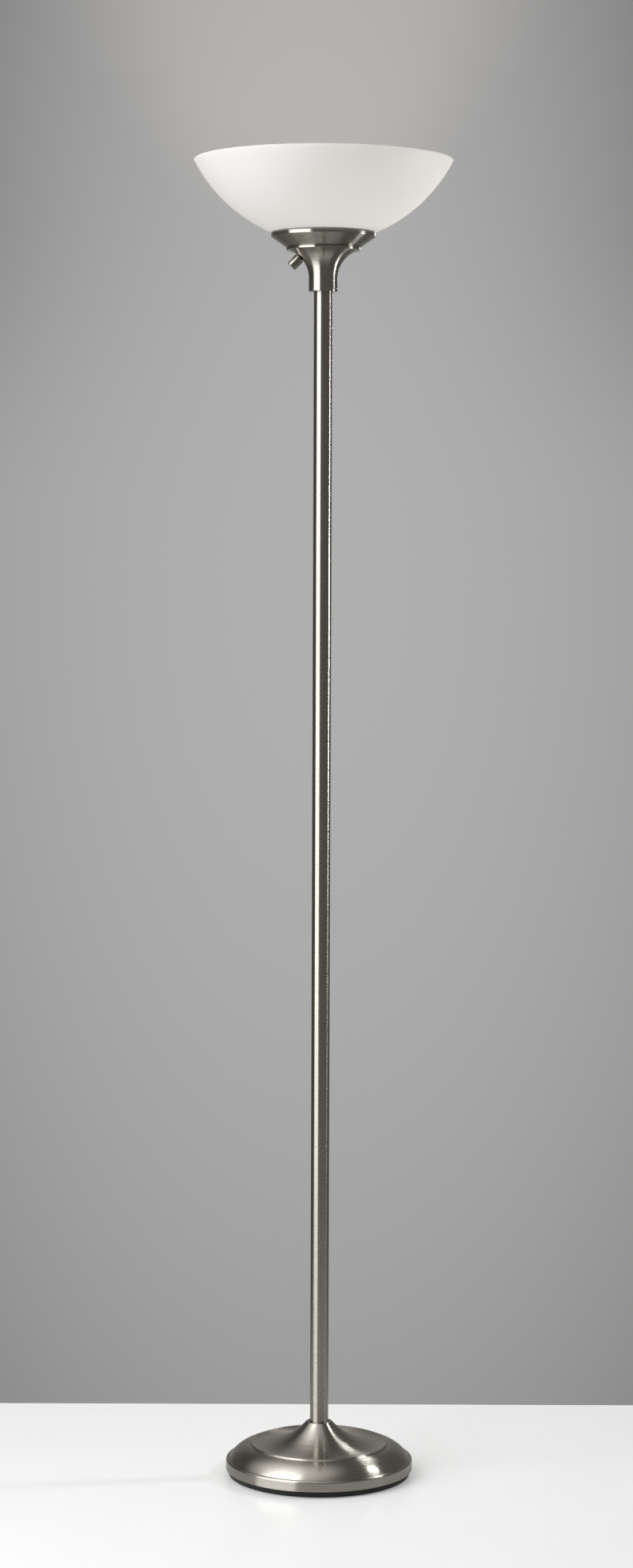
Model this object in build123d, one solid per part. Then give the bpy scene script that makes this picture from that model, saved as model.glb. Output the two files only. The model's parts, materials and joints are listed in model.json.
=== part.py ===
from build123d import *
import math
import os

# A torchiere floor lamp: weighted spun base, pole of screwed tubes, trumpet neck, glass bowl that lifts
# off its cup, one bulb in a screw socket and a rotary switch on a slanted axis.
# Millimetres. +Z runs up the pole, the floor is Z = 0, and the viewer stands on the -Y side.

# Fits
running_gap = 0.05
slip_gap = 0.3

# Spun sheet metal of the base shell, neck and cup
sheet = 1.2

# Base, from the floor up
base_radius = 130.0
felt_thickness = 1.5
felt_inset = 4.0
pan_inset = 3.0
pan_floor = 2.5
pan_wall = 2.4
pan_draft = 1.2
pan_flange = 1.0
pan_flange_inset = 0.6
pan_spigot = 0.8
black_edge_height = 9.2
band_height = 11.0
shoulder_round = 3.8
crease_inset = 4.6
crease_drop = 0.3
dome_rise = 19.2
dome_bulge = 4.1
plate_edge_radius = 95.0
plate_edge_round = 1.2
plate_step = 2.2
step_draft = 1.0
cone_rise = 28.2
cone_hollow = 9.6
lip_width = 6.0
lip_height = 1.7

# Weight in the base and what holds the pole to it
weight_clearance = 0.6
weight_headroom = 3.5
hub_radius = 40.0
hub_headroom = 5.0
hub_web = 12.0
nut_pocket_radius = 17.0
lead_groove_width = 9.0
lead_groove_depth = 10.0
rim_notch_width = 15.0
spacer_radius = 11.0
pan_screw_count = 3
pan_screw_circle = 80.0
pan_screw_radius = 2.0
pan_screw_head_radius = 3.8
pan_screw_length = 12.0

# Cord bushing in the back of the band
bushing_bore = 2.8
bushing_wall = 1.7
bushing_flange_radius = 5.4
bushing_flange = 2.0
bushing_collar = 1.5
bushing_collar_rise = 0.8
bushing_tail = 8.0

# Pole
tube_radius = 12.7
tube_wall = 1.2
tube_length = 392.8
tube_count = 4
tube_insert = 3.2
tube_end_break = 0.25
plug_length = 22.0
nipple_radius = 5.0
nipple_bore = 3.2
nipple_grip = 18.0
nut_across = 16.0
nut_height = 6.0
washer_radius = 9.0
washer_thickness = 1.6
nipple_stand = 2.5

# Trumpet neck and cup
neck_radius = 19.8
neck_corner = 0.8
neck_straight = 18.3
flare_radius = 39.0
flare_angle = 73.0
bead_step = 3.4
bead_round = 1.0
crimp_overlap = 2.2
cup_foot_inset = 0.6
cup_rise = 15.0
cup_lip_radius = 71.4
cup_lip_height = 4.6
cup_lip_round = 0.9

# Yoke bracket and lamp socket
bracket_thickness = 1.5
bracket_width = 12.0
bracket_clearance = 2.0
socket_over_switch = 1.4
socket_radius = 19.0
socket_height = 32.0
socket_base = 8.0
socket_mouth_round = 1.5
screw_shell_wall = 0.6
contact_radius = 5.0
contact_thickness = 0.8
contact_button_radius = 2.5
contact_button_height = 2.2
socket_screw_spacing = 16.0
socket_screw_radius = 1.5
socket_screw_head_radius = 2.8
socket_screw_head = 2.0
socket_screw_bite = 6.0

# Bulb
bulb_globe_radius = 30.0
bulb_throat_rise = 11.4
bulb_cement_gap = 0.2
bulb_neck_height = 8.0
bulb_neck_stand = 4.0
bulb_glass = 1.0
bulb_cap_radius = 13.1
bulb_cap_wall = 0.6
bulb_cap_height = 21.0
bulb_tip_radius = 4.5
bulb_tip_height = 1.2
bulb_insulator_height = 2.4
bulb_insulator_radius = 10.0
thread_gap = 0.3
stem_radius = 6.0
stem_height = 34.0
filament_span = 9.0
filament_post_height = 14.0
filament_radius = 0.5

# Glass bowl and its gasket
bowl_rim_radius = 177.0
bowl_rise = 98.7
bowl_bulge = 12.8
bowl_seat_lift = 1.3
bowl_glass = 4.0
bowl_rim_crown = 1.4
bulb_clearance = 4.0
gasket_width = 2.6
gasket_leg = 3.0
gasket_leg_width = 1.6

# Rotary switch and knob; its axis is square to the flare at this angle below level
switch_angle = 46.0
switch_body_radius = 8.0
switch_body_length = 12.0
switch_body_wall = 1.4
switch_wall_gap = 0.6
switch_cap_thickness = 1.4
switch_bushing_radius = 3.5
switch_bushing_flange_radius = 5.0
switch_bushing_flange = 0.6
switch_bushing_reach = 3.4
switch_nut_height = 2.0
switch_nut_lift = 0.5
switch_shaft_radius = 2.0
rotor_side_gap = 1.6
rotor_thickness = 3.0
rotor_lift = 3.0
leaf_width = 2.4
leaf_thickness = 0.5
knob_radius = 7.0
knob_length = 16.0
knob_lift = 1.4
knob_chamfer = 0.6
knob_skirt = 1.1
knob_skirt_depth = 4.2
knob_cap = 3.0
knob_nut_gap = 0.9
set_screw_radius = 1.5
set_screw_sink = 0.7

# Lead and wires
lead_radius = 2.5
lead_floor_gap = 1.0
lead_straight = 7.0
lead_slope = 15.0
lead_stand = 5.0
wire_radius = 0.9
wire_spread = 3.0
wire_tail = 7.0
wire_rise = 10.0
wire_offset = 11.0
wire_bend = 4.0
wire_loop = 2.0

# Heights that follow from the sizes above
pan_floor_top = felt_thickness + pan_floor
band_bottom = black_edge_height
shoulder_top = band_bottom + band_height + shoulder_round
crease_height = shoulder_top - crease_drop
dome_top = crease_height + dome_rise
plate_height = dome_top + plate_step
lip_root_height = plate_height + cone_rise
lip_hole_radius = tube_radius + slip_gap
lip_root_radius = lip_hole_radius + lip_width
pole_bottom = lip_root_height - tube_insert
pole_top = pole_bottom + tube_count * tube_length
neck_floor_top = pole_top + sheet
flare_start = pole_top + neck_straight
pan_radius = base_radius - pan_inset
pan_inner_radius = pan_radius - pan_wall
crease_radius = base_radius - crease_inset
weight_top = crease_height - sheet - weight_headroom
hub_top = plate_height - sheet - hub_headroom
pocket_top = hub_top - hub_web
stud_nut_bottom = pocket_top - washer_thickness - nut_height
band_middle = band_bottom + band_height / 2
lead_start = base_radius - bushing_tail - slip_gap
lead_low_end = lead_start - lead_straight - lead_slope
tube_bore = tube_radius - tube_wall
thread_bore = nipple_radius + running_gap


# Helpers
def turned(*edges):
    """Solid turned about Z from an outline drawn as (radius, height)."""
    return revolve(Plane.XZ * make_face(edges), Axis.Z)


def bulged(start, end, bulge):
    """Arc that leaves the chord by bulge, to the left of the way from start to end."""
    start, end = Vector(*start), Vector(*end)
    chord = end - start
    left = Vector(-chord.Y, chord.X).normalized()
    return ThreePointArc(start, (start + end) / 2 + left * bulge, end)


def quarter(start, end, centre):
    """Quarter arc between two points about a centre, for rounded corners."""
    start, end, centre = Vector(*start), Vector(*end), Vector(*centre)
    radius = (start - centre).length
    middle = centre + ((start + end) / 2 - centre).normalized() * radius
    return ThreePointArc(start, middle, end)


def beside(arc, distance):
    """Arc about the same centre, further out by distance (or further in when it is negative)."""
    centre = arc.arc_center
    points = [arc @ share for share in (0, 0.5, 1)]
    return ThreePointArc(*[p + (p - centre).normalized() * distance for p in points])


def ring(outer, inner, bottom, top):
    return Pos(0, 0, bottom) * extrude(Circle(outer) - Circle(inner), top - bottom)


def rod(radius, bottom, top):
    return Pos(0, 0, bottom) * extrude(Circle(radius), top - bottom)


def hex_nut(bottom):
    flats = RegularPolygon(nut_across / 2, 6, major_radius=False) - Circle(thread_bore)
    return Pos(0, 0, bottom) * extrude(flats, nut_height)


def tube_along(points, radii, radius):
    """Round wire along straight runs joined by tangent arcs."""
    path = FilletPolyline(*points, radius=radii)
    return sweep(Plane(origin=path @ 0, z_dir=path % 0) * Circle(radius), path)


# Cord inlet: its axis runs straight out of the back of the band
inlet_frame = Plane(origin=(0, base_radius, band_middle), z_dir=(0, 1, 0)).location


# Base shell: band, shoulder, dome, stepped plate, hollow cone and rolled lip
def make_base_shell():
    lip_start = (lip_hole_radius, lip_root_height)
    lip_end = (lip_root_radius, lip_root_height)
    plate_start = (plate_edge_radius - plate_edge_round, plate_height)
    plate_end = (plate_edge_radius, plate_height - plate_edge_round)
    dome_start = (plate_edge_radius + step_draft, dome_top)
    crease = (crease_radius, crease_height)
    shoulder_start = (base_radius - shoulder_round, shoulder_top)
    shoulder_end = (base_radius, shoulder_top - shoulder_round)
    shoulder_centre = (base_radius - shoulder_round, shoulder_top - shoulder_round)

    lip = bulged(lip_start, lip_end, lip_height)
    cone = bulged(lip_end, plate_start, -cone_hollow)
    plate_edge = quarter(plate_start, plate_end, (plate_start[0], plate_end[1]))
    dome = bulged(dome_start, crease, dome_bulge)
    shoulder = quarter(shoulder_start, shoulder_end, shoulder_centre)
    cone_inside = beside(cone, sheet)
    dome_inside = beside(dome, -sheet)
    shoulder_inside = beside(shoulder, -sheet)
    shell = turned(
        lip,
        cone,
        plate_edge,
        Line(plate_end, dome_start),
        dome,
        Line(crease, shoulder_start),
        shoulder,
        Polyline(
            shoulder_end,
            (base_radius, band_bottom),
            (base_radius - sheet, band_bottom),
            shoulder_inside @ 1,
        ),
        shoulder_inside,
        Line(shoulder_inside @ 0, dome_inside @ 1),
        dome_inside,
        Line(dome_inside @ 0, cone_inside @ 1),
        cone_inside,
        Polyline(cone_inside @ 0, (lip_hole_radius, lip_root_height - sheet), lip_start),
    )
    inlet = inlet_frame * extrude(Circle(bushing_bore + bushing_wall), bushing_tail, both=True)
    return shell - inlet


def make_base_pan():
    """Black bottom pan: floor, drafted side, flange under the band and a spigot inside it."""
    spigot_radius = base_radius - sheet - slip_gap
    outline = Polyline(
        (0, felt_thickness),
        (pan_radius - pan_draft, felt_thickness),
        (pan_radius, band_bottom - pan_flange),
        (base_radius - pan_flange_inset, band_bottom - pan_flange),
        (base_radius - pan_flange_inset, band_bottom),
        (spigot_radius, band_bottom),
        (spigot_radius, band_bottom + pan_spigot),
        (pan_inner_radius, band_bottom + pan_spigot),
        (pan_inner_radius, pan_floor_top),
        (0, pan_floor_top),
        close=True,
    )
    notch = Box(rim_notch_width, base_radius, pan_spigot, align=(Align.CENTER, Align.MIN, Align.MIN))
    pan = turned(outline) - Pos(0, 0, band_bottom) * notch
    for place in pan_screw_places():
        pan -= place * pan_screw(running_gap)
    return pan


def pan_screw_places():
    """Evenly spaced, with the widest gap at the back where the lead runs."""
    return PolarLocations(pan_screw_circle, pan_screw_count, start_angle=90 + 180 / pan_screw_count)


def pan_screw(grow):
    """Countersunk screw from the pan's underside, grown all round to cut its own hole."""
    head_depth = pan_screw_head_radius - pan_screw_radius
    head = Pos(0, 0, felt_thickness) * extrude(
        Circle(pan_screw_head_radius + grow), head_depth, taper=45)
    return head + rod(pan_screw_radius + grow, felt_thickness, felt_thickness + pan_screw_length + grow)


def make_pan_screws():
    return [place * pan_screw(0) for place in pan_screw_places()]


def make_base_weight():
    """Iron disc with a raised hub, a pocket for the stud nut and a groove for the lead."""
    weight_radius = pan_inner_radius - weight_clearance
    weight = rod(weight_radius, pan_floor_top, weight_top) + rod(hub_radius, pan_floor_top, hub_top)
    weight -= rod(nipple_radius + slip_gap, pan_floor_top, hub_top)
    weight -= rod(nut_pocket_radius, pan_floor_top, pocket_top)
    outwards = (Align.CENTER, Align.MIN, Align.MIN)
    groove = Box(lead_groove_width, weight_radius, lead_groove_depth, align=outwards)
    notch = Box(rim_notch_width, weight_radius, weight_top, align=outwards)
    weight -= Pos(0, 0, pan_floor_top) * groove
    weight -= Pos(0, lead_low_end - lead_radius, pan_floor_top) * notch
    for place in pan_screw_places():
        weight -= place * pan_screw(running_gap)
    return weight


def make_cord_bushing():
    """Snap-in inlet through the back of the band, its bore left open for a cord."""
    barrel = bushing_bore + bushing_wall - running_gap
    flange_face = running_gap
    collar_face = -sheet - slip_gap
    barrel_end = collar_face - bushing_collar
    profile = Polyline(
        (bushing_bore, flange_face + bushing_flange),
        (bushing_flange_radius, flange_face + bushing_flange),
        (bushing_flange_radius, flange_face),
        (barrel, flange_face),
        (barrel, collar_face),
        (barrel + bushing_collar_rise, collar_face),
        (barrel, barrel_end),
        (barrel, -bushing_tail),
        (bushing_bore, -bushing_tail),
        close=True,
    )
    return inlet_frame * turned(profile)


# Pole: tubes, the plugs in their ends and the nipples across the seams
def make_tube(number):
    bottom = pole_bottom + number * tube_length
    tube = ring(tube_radius, tube_bore, bottom, bottom + tube_length)
    rims = tube.edges().filter_by(GeomType.CIRCLE).group_by(lambda edge: edge.radius)[-1]
    return chamfer(rims, tube_end_break)


def make_plug(end_height):
    """Threaded insert whose lower face is at this height."""
    return ring(tube_bore - running_gap, thread_bore, end_height, end_height + plug_length)


def make_nipple(seam_height):
    return ring(nipple_radius, nipple_bore, seam_height - nipple_grip, seam_height + nipple_grip)


# Trumpet neck: floor, straight neck, flare and the bead that is crimped over the cup's flange
def flare_point(angle):
    """Point of the flare's outer face where its normal dips below level by this angle."""
    reach = Vector(-flare_radius, 0).rotate(Axis.Z, -angle)
    return Vector(neck_radius + flare_radius, flare_start) + reach


flare_end = flare_point(flare_angle)
bead_radius = flare_end.X + bead_step
bead_bottom = flare_end.Y
bead_top = bead_bottom + 3 * sheet + 2 * running_gap
crimp_radius = bead_radius - sheet - crimp_overlap
cup_flange_bottom = bead_bottom + sheet + running_gap
cup_bottom = bead_top + running_gap
cup_cone_top = cup_bottom + cup_rise
cup_lip_top = cup_cone_top + cup_lip_height

# Switch axis: starts at the flare's outer face on the -X side and points down and outwards
switch_seat = flare_point(switch_angle)
switch_frame = Plane(
    origin=(-switch_seat.X, 0, switch_seat.Y),
    x_dir=(0, 1, 0),
    z_dir=Vector(-1, 0, 0).rotate(Axis.Y, -switch_angle),
).location


def make_trumpet_neck():
    flare = ThreePointArc(flare_point(0), flare_point(flare_angle / 2), flare_end)
    flare_inside = beside(flare, sheet)
    corner = neck_radius - neck_corner
    round_radius = bead_radius - bead_round
    low_round = bead_bottom + bead_round
    high_round = bead_top - bead_round
    neck = turned(
        Polyline((thread_bore, neck_floor_top), (thread_bore, pole_top), (corner, pole_top)),
        quarter((corner, pole_top), (neck_radius, pole_top + neck_corner), (corner, pole_top + neck_corner)),
        Line((neck_radius, pole_top + neck_corner), flare @ 0),
        flare,
        Line(flare_end, (round_radius, bead_bottom)),
        quarter((round_radius, bead_bottom), (bead_radius, low_round), (round_radius, low_round)),
        Line((bead_radius, low_round), (bead_radius, high_round)),
        quarter((bead_radius, high_round), (round_radius, bead_top), (round_radius, high_round)),
        Polyline(
            (round_radius, bead_top),
            (crimp_radius, bead_top),
            (crimp_radius, bead_top - sheet),
            (bead_radius - sheet, bead_top - sheet),
            (bead_radius - sheet, bead_bottom + sheet),
            flare_inside @ 1,
        ),
        flare_inside,
        Polyline(flare_inside @ 0, (neck_radius - sheet, neck_floor_top), (thread_bore, neck_floor_top)),
    )
    hole = extrude(Circle(switch_bushing_radius + running_gap), switch_bushing_reach, both=True)
    return neck - switch_frame * hole


def make_shade_cup():
    """Flange held in the bead, throat, cone and upright lip, all one sheet."""
    throat = crimp_radius - running_gap
    flange_edge = bead_radius - sheet - running_gap
    foot = bead_radius - cup_foot_inset
    lip_start = cup_lip_radius - cup_lip_round
    inside = cup_lip_radius - sheet
    return turned(
        Polyline(
            (throat - sheet, cup_flange_bottom),
            (flange_edge, cup_flange_bottom),
            (flange_edge, cup_flange_bottom + sheet),
            (throat, cup_flange_bottom + sheet),
            (throat, cup_bottom),
            (foot, cup_bottom),
            (lip_start, cup_cone_top - cup_lip_round),
        ),
        bulged((lip_start, cup_cone_top - cup_lip_round), (cup_lip_radius, cup_cone_top), -cup_lip_round / 4),
        Line((cup_lip_radius, cup_cone_top), (cup_lip_radius, cup_lip_top - cup_lip_round)),
        quarter(
            (cup_lip_radius, cup_lip_top - cup_lip_round),
            (lip_start, cup_lip_top),
            (lip_start, cup_lip_top - cup_lip_round),
        ),
        Polyline(
            (lip_start, cup_lip_top),
            (inside, cup_lip_top),
            (inside, cup_cone_top + sheet / 2),
            (foot - sheet / 2, cup_bottom + sheet),
            (throat - sheet, cup_bottom + sheet),
            (throat - sheet, cup_flange_bottom),
        ),
    )


# Rotary switch levels, along its own axis from the neck's outer face at 0
body_top = -sheet - switch_wall_gap - switch_bushing_flange
body_bottom = body_top - switch_body_length
cavity_bottom = body_bottom + switch_cap_thickness
cavity_top = body_top - switch_body_wall
cavity_radius = switch_body_radius - switch_body_wall
rotor_radius = cavity_radius - rotor_side_gap
rotor_bottom = cavity_bottom + rotor_lift
shaft_hole = switch_shaft_radius + running_gap
knob_bore = knob_radius - knob_skirt
switch_top = (switch_frame * Pos(0, -switch_body_radius, body_bottom)).position.Z

# Yoke bracket that carries the socket above the switch
bracket_bottom = neck_floor_top
socket_bottom = switch_top + socket_over_switch
bracket_height = socket_bottom - bracket_bottom
bracket_reach = neck_radius - sheet - bracket_clearance
bracket_span = 2 * (bracket_reach ** 2 - (bracket_width / 2) ** 2) ** 0.5


def make_socket_bracket():
    low = (Align.CENTER, Align.CENTER, Align.MIN)
    walls = 2 * bracket_thickness
    outside = Box(bracket_width, bracket_span, bracket_height, align=low)
    window = Box(bracket_width, bracket_span - walls, bracket_height - walls, align=low)
    bracket = Pos(0, 0, bracket_bottom) * (outside - Pos(0, 0, bracket_thickness) * window)
    bracket -= rod(thread_bore, bracket_bottom, bracket_bottom + bracket_thickness)
    for place in socket_screw_places():
        bracket -= place * socket_screw_hole(socket_bottom - bracket_thickness, socket_bottom)
    return bracket


def socket_screw_hole(bottom, top):
    return rod(socket_screw_radius + running_gap, bottom, top)


def socket_screw_places():
    return [Pos(0, side * socket_screw_spacing / 2, 0) for side in (-1, 1)]


def make_socket_screws():
    head_top = socket_bottom - bracket_thickness
    screw = rod(socket_screw_head_radius, head_top - socket_screw_head, head_top)
    screw += rod(socket_screw_radius, head_top, socket_bottom + socket_screw_bite)
    return [place * screw for place in socket_screw_places()]


# Lamp socket: insulating body, screw shell and centre contact
shell_bore = bulb_cap_radius + thread_gap
shell_radius = shell_bore + screw_shell_wall
socket_floor = socket_bottom + socket_base
socket_top = socket_bottom + socket_height
contact_top = socket_floor + contact_thickness + contact_button_height


def make_socket_body():
    body = rod(socket_radius, socket_bottom, socket_top)
    body -= rod(shell_radius + running_gap, socket_floor, socket_top)
    top_rims = body.edges().filter_by(GeomType.CIRCLE).group_by(Axis.Z)[-1]
    body = fillet(top_rims, socket_mouth_round)
    for place in socket_screw_places():
        body -= place * socket_screw_hole(socket_bottom, socket_bottom + socket_screw_bite + slip_gap)
    return body


def make_socket_screw_shell():
    shell_top = socket_top - socket_mouth_round
    return ring(shell_radius, shell_bore, socket_floor, shell_top)


def make_socket_contact():
    strip = rod(contact_radius, socket_floor, socket_floor + contact_thickness)
    return strip + rod(contact_button_radius, socket_floor, contact_top)


# Bulb: glass envelope, cap, insulator, contact button, stem and filament
bulb_tip = contact_top + slip_gap
bulb_insulator_bottom = bulb_tip + bulb_tip_height
bulb_cap_bottom = bulb_insulator_bottom + bulb_insulator_height
bulb_cap_top = bulb_cap_bottom + bulb_cap_height
bulb_neck_radius = bulb_cap_radius - bulb_cap_wall - bulb_cement_gap
bulb_neck_bottom = bulb_cap_top - bulb_neck_height
bulb_shoulder = bulb_cap_top + bulb_neck_stand
bulb_centre = bulb_shoulder + bulb_throat_rise + bulb_globe_radius


def bulb_form(neck, globe, bottom):
    """Closed bulb shape: straight neck, then a line that runs tangent into the round globe."""
    centre = Vector(0, bulb_centre)
    shoulder = Vector(neck, bulb_shoulder)
    away = shoulder - centre
    turn = math.degrees(math.acos(globe / away.length))
    tangent = centre + away.normalized().rotate(Axis.Z, turn) * globe
    crown = centre + Vector(0, globe)
    side = centre + ((tangent + crown) / 2 - centre).normalized() * globe
    return turned(
        Polyline((0, bottom), (neck, bottom), shoulder, tangent),
        ThreePointArc(tangent, side, crown),
        Line(crown, (0, bottom)),
    )


def make_bulb_envelope():
    outside = bulb_form(bulb_neck_radius, bulb_globe_radius, bulb_neck_bottom)
    inside = bulb_form(bulb_neck_radius - bulb_glass, bulb_globe_radius - bulb_glass, bulb_neck_bottom)
    return outside - inside


def make_bulb_cap():
    cap = rod(bulb_cap_radius, bulb_cap_bottom, bulb_cap_top)
    cap -= rod(bulb_cap_radius - bulb_cap_wall, bulb_cap_bottom + bulb_cap_wall, bulb_cap_top)
    return cap


def make_bulb_insulator():
    return turned(
        Polyline(
            (0, bulb_insulator_bottom),
            (bulb_tip_radius, bulb_insulator_bottom),
            (bulb_insulator_radius, bulb_cap_bottom),
            (0, bulb_cap_bottom),
            close=True,
        )
    )


def make_bulb_contact():
    return rod(bulb_tip_radius, bulb_tip, bulb_insulator_bottom)


def make_bulb_stem():
    """Glass mount: a disc that closes the neck and a rod that carries the filament posts."""
    neck_bore = bulb_neck_radius - bulb_glass - running_gap
    disc = rod(neck_bore, bulb_neck_bottom, bulb_neck_bottom + bulb_glass)
    return disc + rod(stem_radius, bulb_neck_bottom, bulb_neck_bottom + stem_height)


def make_bulb_filament():
    stem_top = bulb_neck_bottom + stem_height
    post_top = stem_top + filament_post_height
    post = rod(filament_radius, stem_top, post_top)
    bar = Plane(origin=(0, 0, post_top - filament_radius), z_dir=(1, 0, 0)) * Circle(filament_radius)
    filament = extrude(bar, filament_span / 2, both=True)
    for side in (-1, 1):
        filament += Pos(side * filament_span / 2, 0, 0) * post
    return filament


# Glass bowl, and the gasket between its seat and the cup's lip
def bowl_arc():
    seat = (cup_lip_radius - sheet, cup_lip_top + bowl_seat_lift)
    rim = (bowl_rim_radius, seat[1] + bowl_rise - bowl_rim_crown)
    return bulged(seat, rim, -bowl_bulge)


def on_bowl(radius, inset):
    """Point of the bowl's outer face moved inwards by inset, at this radius."""
    arc = bowl_arc()
    centre = arc.arc_center
    depth = ((arc.radius - inset) ** 2 - (radius - centre.X) ** 2) ** 0.5
    return Vector(radius, centre.Y - depth)


def make_shade_bowl():
    arc = bowl_arc()
    rim = arc @ 1
    centre = arc.arc_center
    rim_drop = centre.Y - rim.Y
    rim_inside = Vector(centre.X + ((arc.radius - bowl_glass) ** 2 - rim_drop ** 2) ** 0.5, rim.Y)
    hole = bulb_globe_radius + bulb_clearance
    foot, foot_inside = on_bowl(hole, 0), on_bowl(hole, bowl_glass)
    middle = (hole + bowl_rim_radius) / 2
    return turned(
        ThreePointArc(foot, on_bowl(middle, 0), rim),
        ThreePointArc(rim, (rim + rim_inside) / 2 + Vector(0, bowl_rim_crown), rim_inside),
        ThreePointArc(rim_inside, on_bowl(middle, bowl_glass), foot_inside),
        Line(foot_inside, foot),
    )


def make_shade_gasket():
    """Soft ring with an L section: a sloping seat on the lip's edge and a leg inside it."""
    inside = cup_lip_radius - sheet - running_gap
    leg = inside - gasket_leg_width
    outer = leg + gasket_width
    leg_seat = on_bowl(leg, 0) - Vector(0, slip_gap)
    outer_seat = on_bowl(outer, 0) - Vector(0, slip_gap)
    return turned(
        Polyline(
            (leg, cup_lip_top - gasket_leg),
            (inside, cup_lip_top - gasket_leg),
            (inside, cup_lip_top),
            (outer, cup_lip_top),
            outer_seat,
            leg_seat,
            close=True,
        )
    )


# Rotary switch: each piece is made upright about its own axis, then put in place
def make_switch_body():
    body = rod(switch_body_radius, cavity_bottom, body_top)
    body -= rod(cavity_radius, cavity_bottom, cavity_top)
    body -= rod(switch_bushing_radius + running_gap, cavity_top, body_top)
    return switch_frame * body


def make_switch_cap():
    return switch_frame * rod(switch_body_radius, body_bottom, cavity_bottom)


def make_switch_bushing():
    flange = rod(switch_bushing_flange_radius, body_top, body_top + switch_bushing_flange)
    bushing = flange + rod(switch_bushing_radius, cavity_top, switch_bushing_reach)
    return switch_frame * (bushing - rod(shaft_hole, cavity_top, switch_bushing_reach))


def make_switch_nut():
    bore = switch_bushing_radius + running_gap
    nut_top = switch_nut_lift + switch_nut_height
    return switch_frame * ring(knob_bore - knob_nut_gap, bore, switch_nut_lift, nut_top)


def make_switch_shaft():
    shaft_top = knob_lift + knob_length - knob_cap - running_gap
    return switch_frame * rod(switch_shaft_radius, cavity_bottom + slip_gap, shaft_top)


def make_switch_rotor():
    return switch_frame * ring(rotor_radius, shaft_hole, rotor_bottom, rotor_bottom + rotor_thickness)


def make_switch_leaves():
    """Two contact leaves that stand on the switch's cap beside the rotor."""
    reach = (rotor_radius + cavity_radius) / 2
    leaf = extrude(Rectangle(leaf_width, leaf_thickness), rotor_lift + rotor_thickness)
    return [switch_frame * Pos(0, side * reach, cavity_bottom) * leaf for side in (-1, 1)]


def make_switch_knob():
    knob = rod(knob_radius, knob_lift, knob_lift + knob_length)
    top_rim = knob.edges().filter_by(GeomType.CIRCLE).group_by(Axis.Z)[-1]
    knob = chamfer(top_rim, knob_chamfer)
    knob -= rod(knob_bore, knob_lift, knob_lift + knob_skirt_depth)
    knob -= rod(shaft_hole, knob_lift, knob_lift + knob_length - knob_cap)
    return switch_frame * (knob - set_screw(running_gap))


def set_screw(grow):
    """Grub screw from the knob's side to the shaft, a little below the outside."""
    height = knob_lift + (knob_skirt_depth + knob_length - knob_cap) / 2
    start = Plane(origin=(0, shaft_hole, height), z_dir=(0, 1, 0)).location
    return start * extrude(Circle(set_screw_radius + grow), knob_radius - shaft_hole - set_screw_sink)


def make_knob_set_screw():
    return switch_frame * set_screw(0)


# Wiring: the lead from the inlet up through the pole, and the wires at its top
neck_nut_bottom = bracket_bottom + bracket_thickness + washer_thickness
neck_nipple_top = neck_nut_bottom + nut_height + nipple_stand
lead_top = neck_nipple_top + lead_stand


def make_pole_lead():
    low = pan_floor_top + lead_radius + lead_floor_gap
    bend = stud_nut_bottom - low - lead_floor_gap
    points = [
        (0, lead_start, band_middle),
        (0, lead_start - lead_straight, band_middle),
        (0, lead_low_end, low),
        (0, 0, low),
        (0, 0, lead_top),
    ]
    return tube_along(points, [bend, bend, bend], lead_radius)


def beside_switch(side, clear):
    """Point level with the middle of the switch body, out from its side towards the pole's axis."""
    depth = (cavity_bottom + body_top) / 2
    return (switch_frame * Pos(side * wire_spread, switch_body_radius + clear, depth)).position


def make_line_wire():
    """From the lead's top to the switch."""
    start = Vector(-lead_radius / 2, 0, lead_top)
    points = [start, start + Vector(0, 0, wire_rise), beside_switch(-1, wire_tail), beside_switch(-1, 0)]
    return tube_along(points, [wire_bend, wire_bend], wire_radius)


def make_neutral_wire():
    """From the lead's top to the socket, on the side away from the switch."""
    start = Vector(lead_radius / 2, 0, lead_top)
    knee = start + Vector(0, 0, wire_rise)
    side = Vector(wire_offset, 0, knee.Z + wire_offset)
    points = [start, knee, side, Vector(wire_offset, 0, socket_bottom)]
    return tube_along(points, [wire_bend, wire_bend], wire_radius)


def make_switched_wire():
    """From the switch to the socket, with a short loop below the switch."""
    tail = beside_switch(1, wire_tail)
    foot = Vector(-wire_offset, tail.Y, tail.Z)
    points = [beside_switch(1, 0), tail, foot, Vector(-wire_offset, tail.Y, socket_bottom)]
    return tube_along(points, [wire_loop, wire_loop], wire_radius)


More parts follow.
